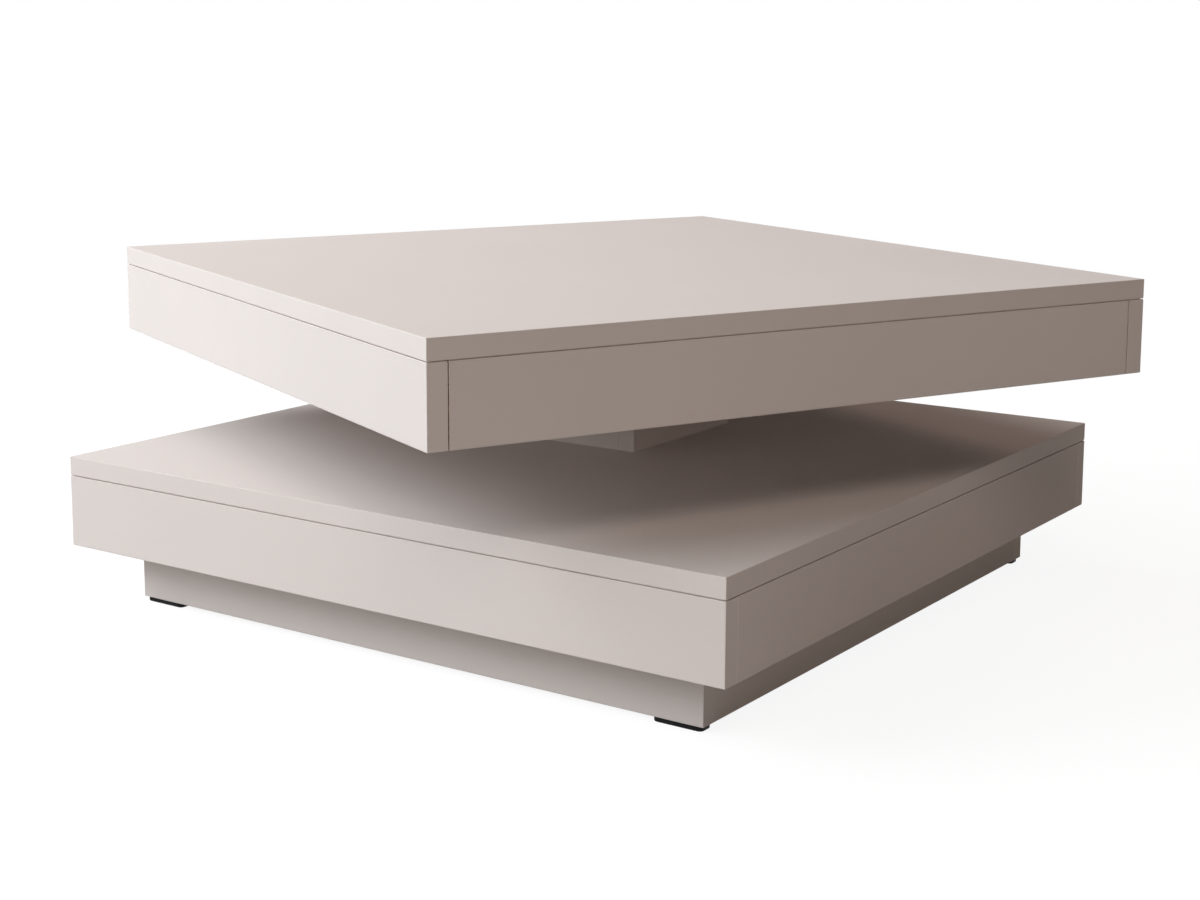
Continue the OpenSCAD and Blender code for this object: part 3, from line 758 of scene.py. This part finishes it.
# Strength and colour of the dim light from all round
AMBIENT = 0.035
AMBIENT_COLOUR = (1.0, 0.80, 0.66)

DAYLIGHT = (0.906, 0.958, 1.0)
ROOM_LIGHT = (1.0, 0.878, 0.802)
LAMPLIGHT = (1.0, 0.753, 0.651)

# The floor: its width, the colour that it throws back on the table, and what the camera sees of it,
# which is a grey that the table's shadow darkens and a glow that it leaves alone
FLOOR_SIZE = 30
FLOOR_BOUNCE = (0.4, 0.39, 0.38)
FLOOR_GREY = (0.16, 0.16, 0.16)
FLOOR_GLOW = 0.9
# Distances from the table's middle between which the floor turns to plain white
FLOOR_NEAR, FLOOR_FAR = 0.8, 1.8

# The point that each softbox faces
LAMP_AIM = Vector((0, 0, 0.2))

# Each softbox: name, position, width and height in metres, watts and colour
SOFTBOXES = (
    ("window_left", (-2.67, 2.67, 2.65), 3.2, 2.2, 119, DAYLIGHT),
    ("window_left_low", (-2.97, 2.97, 1.81), 2.4, 1.6, 38, DAYLIGHT),
    ("window_far_left", (-3.42, 1.59, 2.65), 2.4, 1.6, 18.6, DAYLIGHT),
    ("window_sill", (-4.02, 1.87, 0.98), 2.4, 1.6, 22, DAYLIGHT),
    ("window_back", (-0.27, 3.11, 3.44), 3.2, 2.2, 91, DAYLIGHT),
    ("room_fill", (-2.56, -1.79, 3.44), 2.4, 1.6, 36.8, ROOM_LIGHT),
    ("room_fill_low", (-2.54, -3.63, 0.98), 2.4, 1.6, 21.6, ROOM_LIGHT),
    ("lamp_right", (2.99, 1.09, 3.38), 2.4, 2.4, 28.9, LAMPLIGHT),
)


def add_softbox(name, position, width, height, power, colour):
    light = bpy.data.lights.new(name, "AREA")
    light.shape = "RECTANGLE"
    light.size, light.size_y = width, height
    light.energy = power
    light.color = colour
    lamp = bpy.data.objects.new(name, light)
    bpy.context.scene.collection.objects.link(lamp)
    lamp.location = position
    lamp.rotation_euler = (Vector(position) - LAMP_AIM).to_track_quat("Z", "Y").to_euler()


def seen_directly(nodes):
    """1 for what the camera, mirrors and glass show, and 0 for the light that surfaces gather."""
    path = nodes.add("ShaderNodeLightPath")
    seen = path.outputs["Is Camera Ray"]
    for ray in ("Is Glossy Ray", "Is Transmission Ray"):
        either = nodes.add("ShaderNodeMath")
        either.operation = "MAXIMUM"
        nodes.link(seen, either.inputs[0])
        nodes.link(path.outputs[ray], either.inputs[1])
        seen = either.outputs["Value"]
    return seen


def fill_world():
    """A backdrop that shows white and lights the table only as a dim warm room would."""
    world = bpy.data.worlds.new("studio")
    bpy.context.scene.world = world
    nodes = Nodes(world)
    room = nodes.add("ShaderNodeBackground", Color=(*AMBIENT_COLOUR, 1), Strength=AMBIENT)
    white = nodes.add("ShaderNodeBackground", Color=(1, 1, 1, 1), Strength=1)
    mix = nodes.mixed_shaders(room.outputs[0], white.outputs[0], seen_directly(nodes))
    nodes.link(mix, nodes.add("ShaderNodeOutputWorld").inputs["Surface"])


def floor_paper():
    """Pale paper that reads as white outside the table's shadow, and all white further off."""
    material = bpy.data.materials.new("floor_paper")
    nodes = Nodes(material)

    distance = nodes.add("ShaderNodeVectorMath")
    distance.operation = "LENGTH"
    nodes.link(nodes.add("ShaderNodeTexCoord").outputs["Object"], distance.inputs[0])
    far = nodes.add("ShaderNodeMapRange", From_Min=FLOOR_NEAR, From_Max=FLOOR_FAR)
    far.interpolation_type = "SMOOTHSTEP"
    nodes.link(distance.outputs["Value"], far.inputs["Value"])

    grey = nodes.add("ShaderNodeBsdfDiffuse", Color=(*FLOOR_GREY, 1))
    glow = nodes.add("ShaderNodeEmission", Strength=FLOOR_GLOW)
    paper = nodes.add("ShaderNodeAddShader")
    nodes.link(grey.outputs[0], paper.inputs[0])
    nodes.link(glow.outputs[0], paper.inputs[1])
    white = nodes.add("ShaderNodeEmission", Strength=1)
    shown = nodes.mixed_shaders(paper.outputs[0], white.outputs[0], far.outputs["Result"])

    bounce = nodes.add("ShaderNodeBsdfDiffuse", Color=(*FLOOR_BOUNCE, 1))
    mix = nodes.mixed_shaders(bounce.outputs[0], shown, seen_directly(nodes))
    nodes.link(mix, nodes.add("ShaderNodeOutputMaterial").inputs["Surface"])
    return material


def lay_floor():
    deselect_all()
    bpy.ops.mesh.primitive_plane_add(size=FLOOR_SIZE, location=(0, 0, 0))
    floor = bpy.context.object
    floor.name = "floor"
    floor.data.materials.append(floor_paper())


for softbox in SOFTBOXES:
    add_softbox(*softbox)
fill_world()
lay_floor()


# Camera

# The photo's viewpoint, and its direction in degrees: down from level, and round from +X towards +Y
VIEWPOINT = (-1.7056, -1.1648, 0.5826)
VIEW_DOWN = 8.514
VIEW_ROUND = 35.774


def add_camera():
    camera = bpy.data.cameras.new("camera")
    camera.sensor_fit = "HORIZONTAL"
    camera.sensor_width = 36
    camera.lens = 59.014
    camera.shift_x = 0.0416
    camera.shift_y = -0.10
    viewer = bpy.data.objects.new("camera", camera)
    bpy.context.scene.collection.objects.link(viewer)
    viewer.location = VIEWPOINT
    viewer.rotation_euler = (radians(90 - VIEW_DOWN), 0, radians(VIEW_ROUND - 90))
    bpy.context.scene.camera = viewer


add_camera()
bpy.context.scene.view_settings.view_transform = "Standard"
